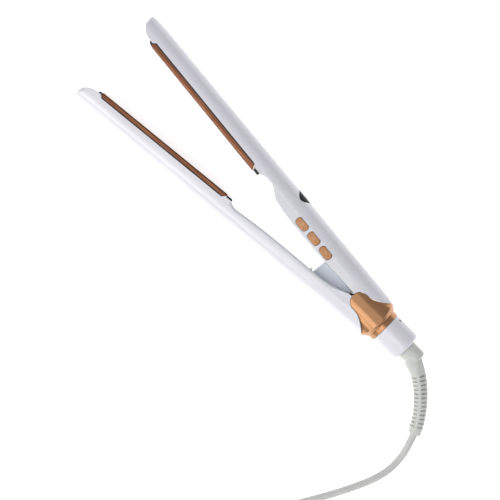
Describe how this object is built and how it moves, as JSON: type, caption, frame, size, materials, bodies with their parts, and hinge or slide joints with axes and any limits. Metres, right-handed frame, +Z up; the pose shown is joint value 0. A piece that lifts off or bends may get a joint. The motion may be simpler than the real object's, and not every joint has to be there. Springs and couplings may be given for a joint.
{
  "type": "hair straightener",
  "caption": "White hair straightener with two long sprung arms, copper-coloured floating heating plates, side buttons, twist lock and a swivel cord.",
  "frame": {"origin": "middle of the body's footprint, on the surface that it lies on; the body is the object without its cord", "axes": "+X along the tail axis from the tips towards the cord, +Y towards the arm with the buttons, +Z up, along the hinge axis"},
  "size_m": [0.4329, 0.2572, 0.0282],
  "materials": {
    "white_shell": "glossy white moulded plastic",
    "white_panel": "satin white moulded plastic",
    "rose_gold": "metallic rose-gold lacquer on plastic",
    "copper_plate": "satin copper-coloured coating on aluminium",
    "black_plastic": "heat-resistant black plastic",
    "grey_plastic": "plain grey plastic",
    "display_black": "glossy black window",
    "board_green": "green circuit board",
    "steel": "plain steel",
    "heater_ceramic": "unglazed ceramic",
    "silicone": "red silicone",
    "lead_red": "silicone-insulated wire",
    "guard_grey": "pale grey plastic",
    "dot_grey": "dark grey inlay",
    "cord_pale": "pale flexible cord sheath",
    "relief_pale": "pale flexible moulding",
    "pin_nickel": "nickel-plated brass"
  },
  "bodies": {
    "tail": {"hinge_cover": "rose_gold", "hinge_pin": "steel", "tail_core": "grey_plastic", "supply_leads": "lead_red"},
    "control_arm": {"control_shell": "white_shell", "control_inner_cover": "white_panel", "control_plate_frame": "black_plastic", "control_bracket": "black_plastic", "spring_guard": "guard_grey", "control_board": "board_green", "tact_switches": "black_plastic", "display_lens": "display_black", "display_module": "grey_plastic", "control_screws": "steel", "control_leads": "lead_red", "control_float_pads": "silicone", "arm_spring": "steel"},
    "lower_arm": {"lower_shell": "white_shell", "lower_inner_cover": "white_panel", "lower_plate_frame": "black_plastic", "lower_bracket": "black_plastic", "lower_screws": "steel", "lower_leads": "lead_red", "lower_float_pads": "silicone"},
    "control_plate": {"control_heat_plate": "copper_plate", "control_heater": "heater_ceramic", "control_heater_clip": "steel", "control_thermistor": "heater_ceramic"},
    "lower_plate": {"lower_heat_plate": "copper_plate", "lower_heater": "heater_ceramic", "lower_heater_clip": "steel", "lower_thermistor": "heater_ceramic"},
    "power_key": {"power_button": "rose_gold"},
    "plus_key": {"plus_button": "rose_gold"},
    "minus_key": {"minus_button": "rose_gold"},
    "lock": {"lock_ring": "white_shell", "lock_dot": "dot_grey"},
    "lock_bar": {"lock_slider": "grey_plastic", "lock_cross_pin": "steel"},
    "cord": {"swivel_collar": "grey_plastic", "strain_relief": "relief_pale", "mains_cord": "cord_pale", "cord_coil": "cord_pale", "plug_cord": "cord_pale", "plug_body": "cord_pale", "plug_pins": "pin_nickel"}
  },
  "joints": [
    {"name": "control_arm_hinge", "type": "hinge", "parent": "tail", "child": "control_arm", "pos_m": [0.1018, 0, 0.014], "axis": [0, 0, 1], "range_deg": [0, 5.75], "stiffness_Nm_per_rad": 1.5, "springref_deg": -5.73, "deforming": ["arm_spring"]},
    {"name": "lower_arm_hinge", "type": "hinge", "parent": "tail", "child": "lower_arm", "pos_m": [0.1018, 0, 0.014], "axis": [0, 0, 1], "range_deg": [-5.75, 0]},
    {"name": "control_plate_float", "type": "slide", "parent": "control_arm", "child": "control_plate", "axis": [0.1002, 0.995, 0], "range_m": [0, 0.0008], "stiffness_N_per_m": 3000, "springref_m": -0.0002, "deforming": ["control_float_pads"]},
    {"name": "lower_plate_float", "type": "slide", "parent": "lower_arm", "child": "lower_plate", "axis": [0.1002, -0.995, 0], "range_m": [0, 0.0008], "stiffness_N_per_m": 3000, "springref_m": -0.0002, "deforming": ["lower_float_pads"]},
    {"name": "power_press", "type": "slide", "parent": "control_arm", "child": "power_key", "axis": [0, 0, -1], "range_m": [0, 0.0006], "stiffness_N_per_m": 600, "springref_m": -0.0002},
    {"name": "plus_press", "type": "slide", "parent": "control_arm", "child": "plus_key", "axis": [0, 0, -1], "range_m": [0, 0.0006], "stiffness_N_per_m": 600, "springref_m": -0.0002},
    {"name": "minus_press", "type": "slide", "parent": "control_arm", "child": "minus_key", "axis": [0, 0, -1], "range_m": [0, 0.0006], "stiffness_N_per_m": 600, "springref_m": -0.0002},
    {"name": "lock_twist", "type": "hinge", "parent": "tail", "child": "lock", "pos_m": [0.14, 0, 0.014], "axis": [1, 0, 0], "range_deg": [0, 45]},
    {"name": "lock_slide", "type": "slide", "parent": "tail", "child": "lock_bar", "axis": [-1, 0, 0], "range_m": [0, 0.0025]},
    {"name": "cord_swivel", "type": "hinge", "parent": "tail", "child": "cord", "pos_m": [0.15, 0, 0.014], "axis": [-1, 0, 0], "continuous": true}
  ],
  "couplings": [
    {"joint": "lower_arm_hinge", "follows": "control_arm_hinge", "ratio": -1},
    {"joint": "lock_slide", "follows": "lock_twist", "m_per_rad": 0.00318}
  ]
}
